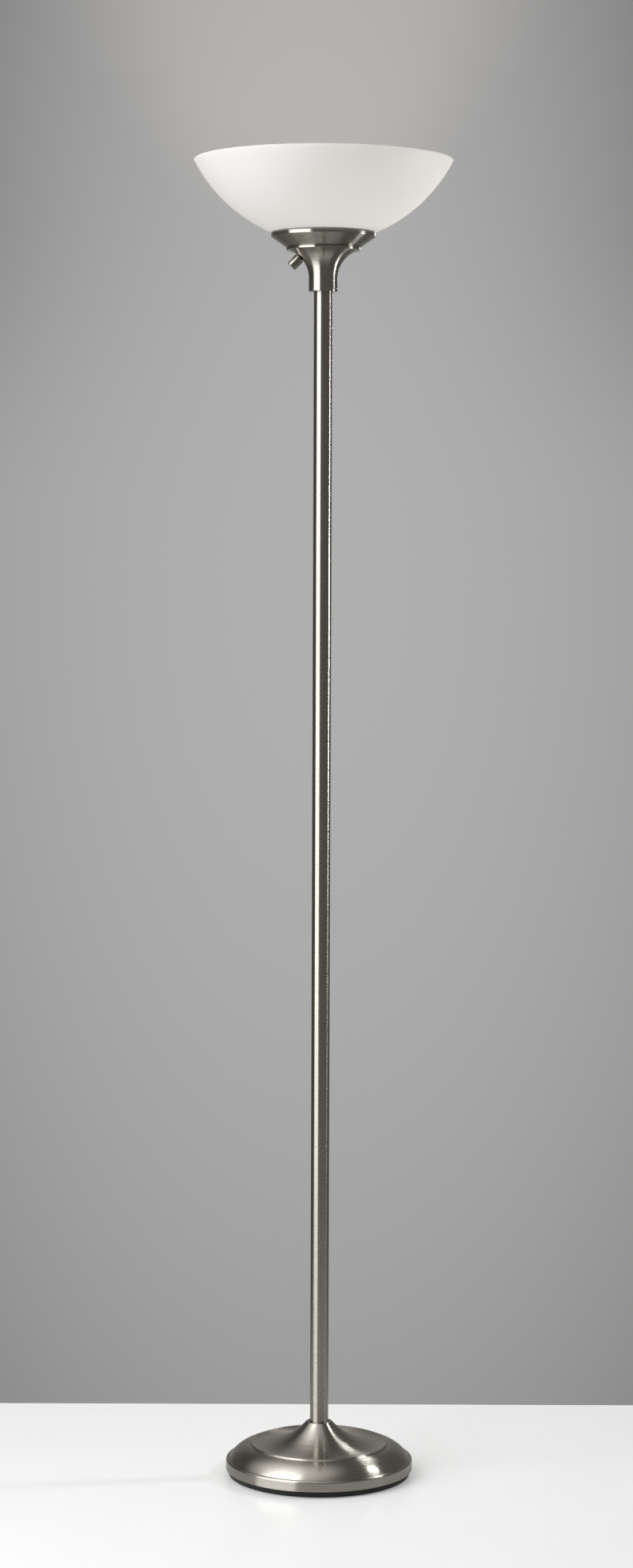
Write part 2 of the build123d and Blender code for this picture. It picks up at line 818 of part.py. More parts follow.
# Every node of the lamp, by name
nodes = {
    "base_shell": make_base_shell(),
    "base_pan": make_base_pan(),
    "felt_pad": rod(pan_radius - felt_inset, 0, felt_thickness),
    "base_weight": make_base_weight(),
    "pan_screws": make_pan_screws(),
    "cord_bushing": make_cord_bushing(),
    "base_stud": ring(nipple_radius, nipple_bore, stud_nut_bottom, pole_bottom + nipple_grip),
    "stud_washer": ring(washer_radius, thread_bore, pocket_top - washer_thickness, pocket_top),
    "stud_nut": hex_nut(stud_nut_bottom),
    "pole_spacer": ring(spacer_radius, thread_bore, hub_top, pole_bottom),
    "trumpet_neck": make_trumpet_neck(),
    "shade_cup": make_shade_cup(),
    "neck_nipple": ring(nipple_radius, nipple_bore, pole_top - nipple_grip, neck_nipple_top),
    "neck_washer": ring(washer_radius, thread_bore, neck_nut_bottom - washer_thickness, neck_nut_bottom),
    "neck_nut": hex_nut(neck_nut_bottom),
    "socket_bracket": make_socket_bracket(),
    "socket_screws": make_socket_screws(),
    "socket_body": make_socket_body(),
    "socket_screw_shell": make_socket_screw_shell(),
    "socket_contact": make_socket_contact(),
    "bulb_envelope": make_bulb_envelope(),
    "bulb_cap": make_bulb_cap(),
    "bulb_insulator": make_bulb_insulator(),
    "bulb_contact": make_bulb_contact(),
    "bulb_stem": make_bulb_stem(),
    "bulb_filament": make_bulb_filament(),
    "shade_bowl": make_shade_bowl(),
    "shade_gasket": make_shade_gasket(),
    "switch_body": make_switch_body(),
    "switch_cap": make_switch_cap(),
    "switch_bushing": make_switch_bushing(),
    "switch_nut": make_switch_nut(),
    "switch_shaft": make_switch_shaft(),
    "switch_rotor": make_switch_rotor(),
    "switch_leaves": make_switch_leaves(),
    "switch_knob": make_switch_knob(),
    "knob_set_screw": make_knob_set_screw(),
    "pole_lead": make_pole_lead(),
    "line_wire": make_line_wire(),
    "neutral_wire": make_neutral_wire(),
    "switched_wire": make_switched_wire(),
}
for number in range(tube_count):
    bottom = pole_bottom + number * tube_length
    nodes[f"pole_tube_{number + 1}"] = make_tube(number)
    nodes[f"pole_plug_{number + 1}_lower"] = make_plug(bottom)
    nodes[f"pole_plug_{number + 1}_upper"] = make_plug(bottom + tube_length - plug_length)
for seam in range(1, tube_count):
    nodes[f"pole_nipple_{seam}"] = make_nipple(pole_bottom + seam * tube_length)

os.makedirs("parts", exist_ok=True)
for name, shape in nodes.items():
    solids = shape if isinstance(shape, list) else [shape]
    export_step(Compound([piece.solid() for piece in solids]), f"parts/{name}.step")
overall_height = nodes["shade_bowl"].bounding_box().max.Z
print(f"{len(nodes)} nodes, overall height {overall_height:.1f} mm")
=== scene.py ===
# %% [markdown]
# # Dressing a torchiere floor lamp
# The lamp's solids arrive finished in shape: a spun base, a pole of four screwed tubes, a trumpet neck with
# a slanted switch knob, and a glass bowl around one bulb. This lesson gives every piece its finish, models
# the few forms that look better as hand-made meshes, and sets a plain studio around the lamp.

# %% Load the solids
import json
import math

import bpy
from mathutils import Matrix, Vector


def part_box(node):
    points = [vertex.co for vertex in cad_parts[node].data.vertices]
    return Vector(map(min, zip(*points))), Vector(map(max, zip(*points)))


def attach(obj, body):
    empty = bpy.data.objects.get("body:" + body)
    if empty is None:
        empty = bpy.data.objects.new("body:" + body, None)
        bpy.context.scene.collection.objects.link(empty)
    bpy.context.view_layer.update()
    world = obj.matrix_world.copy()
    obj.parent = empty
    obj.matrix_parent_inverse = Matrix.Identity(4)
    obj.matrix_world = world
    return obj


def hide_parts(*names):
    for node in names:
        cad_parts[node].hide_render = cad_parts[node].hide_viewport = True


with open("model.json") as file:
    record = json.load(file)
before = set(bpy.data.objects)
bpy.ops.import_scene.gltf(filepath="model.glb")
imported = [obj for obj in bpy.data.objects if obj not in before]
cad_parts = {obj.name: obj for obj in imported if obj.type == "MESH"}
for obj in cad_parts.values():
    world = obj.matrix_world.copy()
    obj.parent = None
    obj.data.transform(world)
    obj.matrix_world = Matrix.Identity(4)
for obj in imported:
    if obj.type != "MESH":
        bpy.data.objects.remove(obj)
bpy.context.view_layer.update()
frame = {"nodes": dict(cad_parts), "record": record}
nodes = frame["nodes"]

# %% [markdown]
# ## The camera
# A product photographer stands well back with a long lens, so that the pole stays straight and the base
# does not swell. The camera is at about two thirds of the lamp's height, tips down by a few degrees and leans
# by a hair. Its focal length is known in pixels of the picture, whose long side is its height, and Blender
# wants millimetres on the sensor's long side.

# %% Camera
PICTURE_HEIGHT = 1981
FOCAL_PIXELS = 4191
SENSOR = 36.0
EYE = (-0.0078, -4.5714, 1.2561)
TIP_DOWN = math.radians(3.626)
LEAN = math.radians(-0.203)

bpy.ops.object.select_all(action="DESELECT")
bpy.ops.object.camera_add(location=EYE, rotation=(math.pi / 2 - TIP_DOWN, LEAN, 0))
camera = bpy.context.object
camera.name = "portrait_camera"
camera.data.sensor_width = SENSOR
camera.data.lens = FOCAL_PIXELS / PICTURE_HEIGHT * SENSOR
bpy.context.scene.camera = camera
bpy.context.scene.view_settings.view_transform = "Standard"
print(f"camera with a {camera.data.lens:.1f} mm lens")

# %% [markdown]
# ## Shaders as arithmetic
# A finish is a small calculation: mix two tones by a noise, make scratches a little rougher, lift the grain
# a hair above the surface. Drawing that with boxes and wires hides the sum, so a number in a material is
# wrapped in a class whose plus and times add the Math nodes. Every other node comes from one method.

# %% Shader helpers
class Value:
    """Something that flows through a node tree. Arithmetic on it adds Math nodes."""

    def __init__(self, finish, socket):
        self.finish = finish
        self.socket = socket

    def maths(self, operation, first, second):
        return self.finish.node("ShaderNodeMath", {"operation": operation}, [first, second])

    def __add__(self, other):
        return self.maths("ADD", self, other)

    def __sub__(self, other):
        return self.maths("SUBTRACT", self, other)

    def __rsub__(self, other):
        return self.maths("SUBTRACT", other, self)

    def __mul__(self, other):
        return self.maths("MULTIPLY", self, other)

    def __truediv__(self, other):
        return self.maths("DIVIDE", self, other)

    def __pow__(self, other):
        return self.maths("POWER", self, other)

    def larger(self, other):
        return self.maths("MAXIMUM", self, other)

    def between(self, low, high):
        """Spread a share from 0 to 1 over this range."""
        return low + self * (high - low)

    __radd__ = __add__


class Finish:
    """A node tree under construction, for a material or for the world."""

    def __init__(self, owner):
        owner.use_nodes = True
        self.owner = owner
        self.tree = owner.node_tree

    def node(self, kind, settings, inputs, output=0):
        """Add a node of this kind, set it up, feed its sockets and hand back one of its outputs."""
        made = self.tree.nodes.new(kind)
        for name, value in settings.items():
            setattr(made, name, value)
        self.feed(made, inputs)
        return Value(self, made.outputs[output])

    def feed(self, made, inputs):
        """Link values to a node's sockets and set plain numbers on them."""
        pairs = inputs.items() if isinstance(inputs, dict) else enumerate(inputs)
        for key, value in pairs:
            if isinstance(value, Value):
                self.tree.links.new(value.socket, made.inputs[key])
            else:
                made.inputs[key].default_value = value

    def mix(self, share, low, high, blend="MIX"):
        """A colour between low and high, or with the blend ADD a share of high on top of low."""
        settings = {"data_type": "RGBA", "blend_type": blend}
        return self.node("ShaderNodeMix", settings, {0: share, 6: low, 7: high}, output=2)

    def fade(self, value, start, end):
        """A smooth step from 0 at start to 1 at end."""
        sockets = {"Value": value, "From Min": start, "From Max": end}
        return self.node("ShaderNodeMapRange", {"interpolation_type": "SMOOTHSTEP"}, sockets)

    def ray(self, kind):
        """1 for rays of this kind, 0 for others."""
        return self.node("ShaderNodeLightPath", {}, {}, output=f"Is {kind} Ray")

    def looking(self):
        """1 where the camera, a mirror or a glass looks, 0 where light is only gathered."""
        return self.ray("Camera").larger(self.ray("Glossy")).larger(self.ray("Transmission"))

    def place(self):
        """Where a point of the surface is, in metres in the lamp's own frame."""
        return self.node("ShaderNodeTexCoord", {}, {}, output="Object")

    def parts(self, vector):
        """The three numbers of a vector."""
        return [self.node("ShaderNodeSeparateXYZ", {}, [vector], output=axis) for axis in range(3)]

    def noise(self, vector, scale):
        """Soft patches, this many in a metre."""
        return self.node("ShaderNodeTexNoise", {}, {"Vector": vector, "Scale": scale})

    def bump(self, height, distance):
        """A relief that stands up by this distance at most."""
        return self.node("ShaderNodeBump", {}, {"Distance": distance, "Height": height})


class Paint(Finish):
    """A material's tree, with its Principled shader."""

    def __init__(self, name):
        super().__init__(bpy.data.materials.new(name))
        self.shader = self.tree.nodes["Principled BSDF"]

    def finish(self, **sockets):
        """Feed the Principled shader; an underscore in a name stands for a space."""
        self.feed(self.shader, {name.replace("_", " "): value for name, value in sockets.items()})
        return self.owner

    def let_through(self, share, colour):
        """Let a share of the light that falls on the far side come through, as milk glass does."""
        through = self.node("ShaderNodeBsdfTranslucent", {}, {"Color": colour})
        surface = Value(self, self.shader.outputs[0])
        both = self.node("ShaderNodeMixShader", {}, [share, surface, through])
        self.feed(self.tree.nodes["Material Output"], {"Surface": both})


print("shader helpers ready")

# %% [markdown]
# ## The studio
# Satin metal looks like what stands around it. The photographer used one tall soft light on the left and a
# narrow, higher one on the right, and kept the rest of the room dark, so the pole shows a broad white band, a
# thin one and dark metal between. A small light high up behind the lamp draws the bright streak down the cone
# and the dome of the base. All three are area lamps that the camera itself does not see.

# %% Lights
COOL_WHITE = (0.98, 1.0, 1.02)


def soft_light(name, from_angle, to_angle, reach, low, high, brightness):
    """Upright rectangle that fills these angles as seen from the pole; 0 is the camera's side, + is right."""
    middle = math.radians((from_angle + to_angle) / 2)
    width = 2 * reach * math.tan(math.radians(to_angle - from_angle) / 2)
    centre = (reach * math.sin(middle), -reach * math.cos(middle), (low + high) / 2)
    bpy.ops.object.light_add(type="AREA", location=centre, rotation=(math.pi / 2, 0, middle))
    lamp = bpy.context.object
    lamp.name = name
    lamp.visible_camera = False
    lamp.data.shape = "RECTANGLE"
    lamp.data.size = width
    lamp.data.size_y = high - low
    lamp.data.energy = brightness * math.pi * width * (high - low)
    lamp.data.color = COOL_WHITE
    print(f"{name}: {width:.2f} x {high - low:.2f} m, {lamp.data.energy:.1f} W")


bpy.ops.object.select_all(action="DESELECT")
soft_light("soft_light_left", from_angle=-80, to_angle=-28, reach=1.6, low=0.05, high=3.4, brightness=2.8)
soft_light("soft_light_right", from_angle=97, to_angle=102, reach=1.1, low=1.0, high=1.5, brightness=42.0)
soft_light("soft_light_back", from_angle=162, to_angle=165, reach=2.6, low=2.02, high=2.44, brightness=26.0)

# %% [markdown]
# The world does three jobs: it lights dull surfaces evenly from everywhere, it shows the camera a backdrop,
# and it shows shiny metal the room. The backdrop is grey, brightest in the middle, with a soft warm fan of
# light above the bowl. Places on it are slopes, so many metres sideways or up for each metre ahead.

# %% Backdrop
BLACK = (0, 0, 0, 1)
BACKDROP = (0.43, 0.43, 0.43, 1)
SIDE_FALL, HEIGHT_FALL, CORNER_FALL = 16.0, 3.6, 19.0
CORNER_HEIGHTS = (0.014, 0.114)
DIMMEST = 0.5
LEAST_AHEAD = 0.01
FAN_GLOW = (0.076, 0.055, 0.038, 1)
FAN_HEIGHTS = (0.094, 0.140)
FAN_SHIFT, FAN_FOOT, FAN_SLOPE, FAN_NARROWEST = 0.0042, 0.0527, 0.70, 0.01

world = bpy.data.worlds.new("studio")
bpy.context.scene.world = world
studio = Finish(world)
x, y, z = studio.parts(studio.node("ShaderNodeTexCoord", {}, {}, output="Generated"))
ahead = y.larger(LEAST_AHEAD)
sideways, upwards = x / ahead, z / ahead
beside = sideways + FAN_SHIFT
corners = studio.fade(upwards, *CORNER_HEIGHTS)
wall_light = 1 - sideways * sideways * SIDE_FALL - upwards * upwards * HEIGHT_FALL
wall_light = (wall_light - corners * beside * beside * CORNER_FALL).larger(DIMMEST)
wall = studio.mix(wall_light, BLACK, BACKDROP)
fan_width = ((upwards - FAN_FOOT) * FAN_SLOPE).larger(FAN_NARROWEST)
across = beside / fan_width
fan = studio.fade(upwards, *FAN_HEIGHTS) * studio.fade(1 - across * across, 0, 1)
wall = studio.mix(fan, wall, FAN_GLOW, "ADD")
print("backdrop with a fan of light above the bowl")

# %% [markdown]
# The room that the metal sees is that backdrop behind the lamp and dark elsewhere, darkest on the left. Its
# floor is paler on the left, and a bright ceiling hangs overhead, to the left and a little to the camera's
# side. Here a place is a direction of length one, and a pair of numbers says where a change begins and where
# it ends.

# %% Room and fill
FILL = (0.545, 0.54, 0.53, 1)
ROOM_LEFT = (0.10, 0.096, 0.089, 1)
ROOM_RIGHT = (0.145, 0.139, 0.128, 1)
ROOM_SIDES = (-0.8, 0.2)
FLOOR_LEFT = (0.30, 0.29, 0.27, 1)
FLOOR_DEPTHS, FLOOR_SIDES = (0.3, 0.7), (0.1, 0.6)
CEILING = (1.40, 1.40, 1.40, 1)
CEILING_UP, CEILING_LEFT, CEILING_NEAR = 0.87, 0.45, 0.20
CEILING_EDGE = (0.60, 1.0)
BACKDROP_EDGE = (0.80, 0.96)

room = studio.mix(studio.fade(x, *ROOM_SIDES), ROOM_LEFT, ROOM_RIGHT)
lit_floor = studio.fade(0 - z, *FLOOR_DEPTHS) * studio.fade(0 - x, *FLOOR_SIDES)
room = studio.mix(lit_floor, room, FLOOR_LEFT)
overhead = z * CEILING_UP - x * CEILING_LEFT - y * CEILING_NEAR
room = studio.mix(studio.fade(overhead, *CEILING_EDGE), room, CEILING)
behind = studio.fade(y, *BACKDROP_EDGE).larger(studio.ray("Camera"))
shown = studio.mix(behind, room, wall)
studio.feed(world.node_tree.nodes["Background"], {"Color": studio.mix(studio.looking(), FILL, shown)})
print("dark room for reflections, and an even fill")

# %% [markdown]
# The lamp stands on a white, slightly glossy table top. Its straight back edge is part of the picture, so it
# is a real slab that ends a short way behind the base. It belongs to the stage and not to the lamp. A little
# glow, for the camera's own rays alone, makes it pale without more light on the lamp, and the metal sees it
# somewhat darker than it is.

# %% Table top
TABLE_BACK = 0.387
TABLE_WIDTH, TABLE_DEPTH, TABLE_THICKNESS = 1.6, 1.15, 0.04
TABLE_DARK = (0.84, 0.84, 0.84, 1)
TABLE_PALE = (0.87, 0.87, 0.87, 1)
TABLE_GLOW = (0.145, 0.145, 0.145, 1)
TABLE_IN_METAL = (0.25, 0.25, 0.25, 1)
DARKENING = 0.3
SPOTS_PER_METRE = 6.0

bpy.ops.object.select_all(action="DESELECT")
bpy.ops.mesh.primitive_cube_add(size=1, location=(0, TABLE_BACK - TABLE_DEPTH / 2, -TABLE_THICKNESS / 2))
table = bpy.context.object
table.name = "table_top"
table.scale = (TABLE_WIDTH, TABLE_DEPTH, TABLE_THICKNESS)
bpy.ops.object.transform_apply(location=True, rotation=True, scale=True)
white_top = Paint("white_table")
spots = white_top.noise(white_top.place(), SPOTS_PER_METRE)
white = white_top.mix(spots, TABLE_DARK, TABLE_PALE)
table.data.materials.append(white_top.finish(
    Base_Color=white_top.mix(white_top.ray("Glossy") * DARKENING, white, TABLE_IN_METAL),
    Roughness=spots.between(0.24, 0.28),
    Emission_Color=white_top.mix(white_top.ray("Camera"), BLACK, TABLE_GLOW),
    Emission_Strength=1.0,
))
print(f"table top, back edge {TABLE_BACK} m behind the pole")

# %% [markdown]
# ## Brushed nickel
# The base, pole, neck, cup and knob are plated with satin nickel and brushed while they spin, so the
# scratches run round the axis. Such scratches stretch a reflection across themselves: lights become
# streaks along the pole and along the base's radius. The shader's anisotropy does that, turned a quarter so
# that it stretches across the scratches. A noise that is long round the axis and very short along it
# draws the scratches themselves, in tone, in roughness and as a faint relief. The knob is brushed round its
# own slanted axis, which the shader's stretch cannot follow, so it gets the scratches alone.

# %% Brushed nickel
NICKEL_DARK = (0.365, 0.342, 0.300, 1)
NICKEL_PALE = (0.455, 0.432, 0.385, 1)
SCRATCHES_PER_METRE = 5200
SCRATCHES_AROUND = 2
SCRATCH_DETAIL = 3.0
SCRATCH_SHARE = 0.7
SCRATCH_RELIEF = 0.000003
WORN = (0.42, 0.62)
WORN_ROUGHNESS, CLOUD_ROUGHNESS = 0.08, 0.04
CLOUDS_PER_METRE = 18.0
QUARTER_TURN = 0.25
TINY = 1e-6


def brushed_nickel(name, roughness, stretch, axis_place=(0, 0, 0), axis_tilt=0.0):
    """Nickel brushed round an axis through axis_place, tilted about Y by axis_tilt."""
    paint = Paint(name)
    turned = {"Location": axis_place, "Rotation": (0, axis_tilt, 0)}
    local = paint.node("ShaderNodeMapping", {"vector_type": "TEXTURE"}, {"Vector": paint.place(), **turned})
    x, y, z = paint.parts(local)
    radius = (x * x + y * y) ** 0.5 + TINY
    across = [radius * SCRATCHES_PER_METRE, z * SCRATCHES_PER_METRE]
    around = [x / radius * SCRATCHES_AROUND, y / radius * SCRATCHES_AROUND]
    flow = paint.node("ShaderNodeCombineXYZ", {}, [*across, around[0]])
    scratches = paint.node(
        "ShaderNodeTexNoise", {"noise_dimensions": "4D"},
        {"Vector": flow, "W": around[1], "Scale": 1.0, "Detail": SCRATCH_DETAIL})
    cloud = paint.noise(local, CLOUDS_PER_METRE)
    worn = paint.fade(scratches, *WORN)
    return paint.finish(
        Base_Color=paint.mix(
            scratches * SCRATCH_SHARE + cloud * (1 - SCRATCH_SHARE), NICKEL_DARK, NICKEL_PALE),
        Metallic=1.0,
        Roughness=roughness + worn * WORN_ROUGHNESS + cloud * CLOUD_ROUGHNESS,
        Anisotropic=stretch,
        Anisotropic_Rotation=QUARTER_TURN,
        Normal=paint.bump(scratches, SCRATCH_RELIEF),
    )


knob_joint = frame["record"]["behaviour"]["joints"][0]
knob_seat = Vector(knob_joint["pos_m"])
knob_axis = Vector(knob_joint["axis"])
knob_tilt = math.atan2(knob_axis.x, knob_axis.z)
nickel = brushed_nickel("brushed_nickel", roughness=0.20, stretch=1.0)
knob_nickel = brushed_nickel("knob_nickel", 0.14, 0.0, axis_place=knob_seat, axis_tilt=knob_tilt)
print(f"brushed nickel, and a knob tilted by {math.degrees(knob_tilt):.0f} degrees")

# %% [markdown]
# ## Plain finishes
# Most other pieces are one stuff with a mottled tone and a fine grain. One function makes them: two tones in
# patches, and a grain that varies the roughness and stands up a little. A table holds the numbers; patch,
# grain and relief are in metres. Brass darkened far below its own tone, as painted shade, is for the parts of
# the switch that show in the gap behind the knob, so that the gap reads as a shadowed line.

# %% Plain finishes
GRAIN_SPREAD = 0.1
METAL = {"Metallic": 1.0}
IRON = {"Metallic": 0.5}
MOULDED = {"Specular_IOR_Level": 0.3}
FLUFFY = {"Sheen_Weight": 0.4}
GLAZED = {"Coat_Weight": 0.5}
BARE = {}


def mottled(name, dark, pale, patch, grain, relief, roughness, constants):
    """A stuff of two tones in patches, with a fine grain."""
    paint = Paint(name)
    place = paint.place()
    patches = paint.noise(place, 1 / patch)
    grains = paint.noise(place, 1 / grain)
    return paint.finish(
        Base_Color=paint.mix(patches, (*dark, 1), (*pale, 1)),
        Roughness=grains.between(roughness - GRAIN_SPREAD, roughness + GRAIN_SPREAD),
        Normal=paint.bump(grains, relief),
        **constants,
    )


# name: dark tone, pale tone, patch, grain, relief, roughness, constants
stuffs = {
    "zinc_steel": ((0.48, 0.49, 0.50), (0.66, 0.67, 0.67), 0.004, 0.0005, 1e-5, 0.36, METAL),
    "brass": ((0.64, 0.46, 0.20), (0.82, 0.63, 0.31), 0.005, 0.0005, 1e-5, 0.30, METAL),
    # brass darkened as painted shade: the switch's nut and bushing in the gap behind the knob
    "brass_darkened_as_shade": ((0.10, 0.07, 0.035), (0.22, 0.16, 0.08), 0.003, 0.0005, 1e-5, 0.50, METAL),
    "bare_aluminium": ((0.70, 0.70, 0.70), (0.82, 0.82, 0.82), 0.004, 0.0004, 1e-5, 0.32, METAL),
    "filament_wire": ((0.28, 0.27, 0.26), (0.40, 0.39, 0.38), 0.002, 0.0003, 1e-5, 0.45, METAL),
    "cast_iron": ((0.08, 0.08, 0.08), (0.15, 0.145, 0.14), 0.008, 0.0012, 1.5e-4, 0.62, IRON),
    "black_plastic": ((0.009, 0.009, 0.010), (0.015, 0.015, 0.016), 0.02, 0.0006, 2e-5, 0.38, MOULDED),
    "black_phenolic": ((0.022, 0.020, 0.018), (0.040, 0.036, 0.032), 0.003, 0.0004, 1e-5, 0.34, BARE),
    "black_felt": ((0.018, 0.018, 0.018), (0.045, 0.045, 0.045), 0.002, 0.0005, 2e-4, 0.85, FLUFFY),
    "white_porcelain": ((0.84, 0.83, 0.79), (0.90, 0.89, 0.86), 0.012, 0.003, 1e-5, 0.20, GLAZED),
    "lead_jacket": ((0.028, 0.028, 0.028), (0.05, 0.05, 0.05), 0.01, 0.0006, 1e-5, 0.50, BARE),
    "wire_black": ((0.02, 0.02, 0.02), (0.04, 0.04, 0.04), 0.006, 0.0005, 1e-5, 0.40, BARE),
    "wire_white": ((0.80, 0.80, 0.77), (0.88, 0.88, 0.86), 0.006, 0.0005, 1e-5, 0.40, BARE),
}
finishes = {name: mottled(name, *numbers) for name, numbers in stuffs.items()}
finishes["brushed_nickel"] = nickel
print(f"{len(finishes)} opaque finishes")

# %% [markdown]
# ## Glass
# The bowl is white all through with a satin skin: light that falls on one side comes out of the other.

# %% Bowl glass
MILK_PER_METRE, SATIN_PER_METRE = 14.0, 1400.0
SATIN_RELIEF = 0.00002
BOWL_THROUGH = 0.57

bowl_paint = Paint("frosted_glass")
milk = bowl_paint.noise(bowl_paint.place(), MILK_PER_METRE)
satin = bowl_paint.noise(bowl_paint.place(), SATIN_PER_METRE)
finishes["frosted_glass"] = bowl_paint.finish(
    Base_Color=bowl_paint.mix(milk, (0.90, 0.89, 0.88, 1), (0.93, 0.92, 0.91, 1)),
    Roughness=satin.between(0.44, 0.56),
    Normal=bowl_paint.bump(satin, SATIN_RELIEF),
)
bowl_paint.let_through(BOWL_THROUGH, (0.99, 0.965, 0.935, 1))
print(f"bowl glass that lets {BOWL_THROUGH:.0%} of the light through")

# %% [markdown]
# The bulb's coating is whiter, and it glows very faintly, so that the bulb's form shows from above. The small
# stem inside the bulb is clear glass, and the ring under the bowl is a smoky, cloudy rubber.

# %% Bulb glass, clear glass and silicone
COATING_PER_METRE, DRAWN_PER_METRE, HAZE_PER_METRE = 60.0, 300.0, 250.0
BULB_GLOW = 0.12
RING_THROUGH = 0.4
RING_PALE = (0.34, 0.33, 0.31, 1)

bulb_paint = Paint("bulb_glass")
coating = bulb_paint.noise(bulb_paint.place(), COATING_PER_METRE)
finishes["bulb_glass"] = bulb_paint.finish(
    Base_Color=bulb_paint.mix(coating, (0.88, 0.87, 0.83, 1), (0.93, 0.92, 0.89, 1)),
    Roughness=coating.between(0.30, 0.40),
    Emission_Color=bulb_paint.mix(coating, (1.0, 0.80, 0.58, 1), (1.0, 0.84, 0.64, 1)),
    Emission_Strength=BULB_GLOW,
)

stem_paint = Paint("clear_glass")
drawn = stem_paint.noise(stem_paint.place(), DRAWN_PER_METRE)
finishes["clear_glass"] = stem_paint.finish(
    Base_Color=stem_paint.mix(drawn, (0.90, 0.93, 0.93, 1), (0.96, 0.98, 0.98, 1)),
    Roughness=drawn.between(0.02, 0.05),
    Transmission_Weight=1.0,
)

ring_paint = Paint("clear_silicone")
haze = ring_paint.noise(ring_paint.place(), HAZE_PER_METRE)
finishes["clear_silicone"] = ring_paint.finish(
    Base_Color=ring_paint.mix(haze, (0.26, 0.25, 0.23, 1), RING_PALE),
    Roughness=haze.between(0.38, 0.48),
)
ring_paint.let_through(RING_THROUGH, RING_PALE)
print("bulb glass, clear glass and silicone")

# %% [markdown]
# ## Dressing the solids
# The record names a material slot for every solid, so one loop dresses them all. Three pieces have a finish
# of their own: the knob, and the nut and bushing behind it, whose brass is darkened as painted shade.

# %% Dress every solid by its material slot
own_finish = {
    "switch_knob": knob_nickel,
    # nut and bushing: brass darkened as painted shade in the gap behind the knob
    "switch_nut": finishes["brass_darkened_as_shade"],
    "switch_bushing": finishes["brass_darkened_as_shade"],
}
slots = {part["node"]: part["material_slot"] for part in frame["record"]["subparts"]}
bodies = {node: body for body, members in frame["record"]["behaviour"]["bodies"].items() for node in members}
for name, slot in slots.items():
    nodes[name].data.materials.clear()
    nodes[name].data.materials.append(own_finish.get(name, finishes[slot]))
print(f"{len(slots)} solids dressed")

# %% [markdown]
# ## Hand-made pieces
# Some pieces look better as meshes made for the eye: the spun shells, whose small rounds carry the brightest
# lines of the lamp, and the forms that show once the bowl or the bulb is lifted, such as the bulb's rolled
# thread. Each is drawn as half an outline: one vertex, extruded from point to point. Spinning that outline
# makes a turned form.

# %% Drawing and spinning an outline
WELD = 1e-6
SMOOTH_ANGLE = math.radians(35)


def draw(name, outline):
    """Extrude one vertex along the (radius, height) points of an outline, and stay in Edit Mode."""
    bpy.ops.object.select_all(action="DESELECT")
    bpy.ops.mesh.primitive_plane_add(size=1)
    piece = bpy.context.object
    piece.name = name
    bpy.ops.object.mode_set(mode="EDIT")
    bpy.ops.mesh.select_all(action="SELECT")
    bpy.ops.mesh.merge(type="CENTER")
    points = [Vector((radius, 0, height)) for radius, height in outline]
    bpy.ops.transform.translate(value=points[0])
    for here, there in zip(points, points[1:]):
        bpy.ops.mesh.extrude_region_move(TRANSFORM_OT_translate={"value": there - here})
    return piece


def close_up():
    """Weld the open piece, turn its faces outwards and smooth its round stretches."""
    bpy.ops.mesh.select_all(action="SELECT")
    bpy.ops.mesh.remove_doubles(threshold=WELD)
    bpy.ops.mesh.normals_make_consistent(inside=False)
    bpy.ops.object.mode_set(mode="OBJECT")
    bpy.ops.object.shade_smooth_by_angle(angle=SMOOTH_ANGLE)


def lathe(name, outline, steps=72):
    """Spin an outline once round the lamp's axis."""
    piece = draw(name, outline)
    bpy.ops.mesh.select_all(action="SELECT")
    bpy.ops.mesh.spin(steps=steps, angle=math.tau, center=(0, 0, 0), axis=(0, 0, 1))
    close_up()
    return piece


def stand_for(piece, node):
    """Show piece in place of a solid, with that solid's finish and motion."""
    piece.data.materials.clear()
    piece.data.materials.append(finishes[slots[node]])
    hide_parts(node)
    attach(piece, bodies[node])
    print(f"{piece.name} stands for {node}: {len(piece.data.polygons)} faces")


print("lathe ready")

# %% [markdown]
# An outline needs three kinds of round stretch: an arc about a centre, an arc that swells from a chord, and a
# soft corner. Each is a short list of points.

# %% Round stretches
CORNER_STEPS = 8


def arc(centre, radius, from_angle, to_angle, steps):
    """Points of an arc about a centre, between two angles in radians."""
    turns = [from_angle + (to_angle - from_angle) * step / steps for step in range(steps + 1)]
    return [centre + radius * Vector((math.cos(turn), math.sin(turn))) for turn in turns]


def swelling(start, end, rise, steps):
    """Points of an arc that leaves its chord by rise, to the left of the way from start to end."""
    chord = end - start
    left = Vector((-chord.y, chord.x)).normalized()
    radius = (chord.length_squared / 4 + rise ** 2) / (2 * rise)
    centre = (start + end) / 2 + left * (rise - radius)
    first = math.atan2(start.y - centre.y, start.x - centre.x)
    sweep = -2 * math.asin(chord.length / (2 * radius))
    return arc(centre, abs(radius), first, first + sweep, steps)


def soft_corner(start, corner, end):
    """Points of a round that leaves start and reaches end along the two sides of a corner."""
    shares = [step / CORNER_STEPS for step in range(CORNER_STEPS + 1)]
    return [start.lerp(corner, share).lerp(corner.lerp(end, share), share) for share in shares]


def point(radius, height):
    """A point of an outline."""
    return Vector((radius, height))


print("arcs and corners ready")

# %% [markdown]
# ## Spun shells
# Base, neck and cup are sheet metal, spun over a form. Their solids have the right shape, but their shading
# is uneven where a wide face runs into a small round, and that breaks a highlight into dots. So each is spun
# once more, in fine steps, with the solid's own sizes in metres. A hole is taken out with a Boolean, and
# Solidify gives a bare sheet its wall. In the end the Weighted Normal modifier lets the wide faces decide the
# shading, so that a bright line runs on unbroken.

# %% Holes, walls and polish
SHEET = 0.0012
SHELL_STEPS = 240


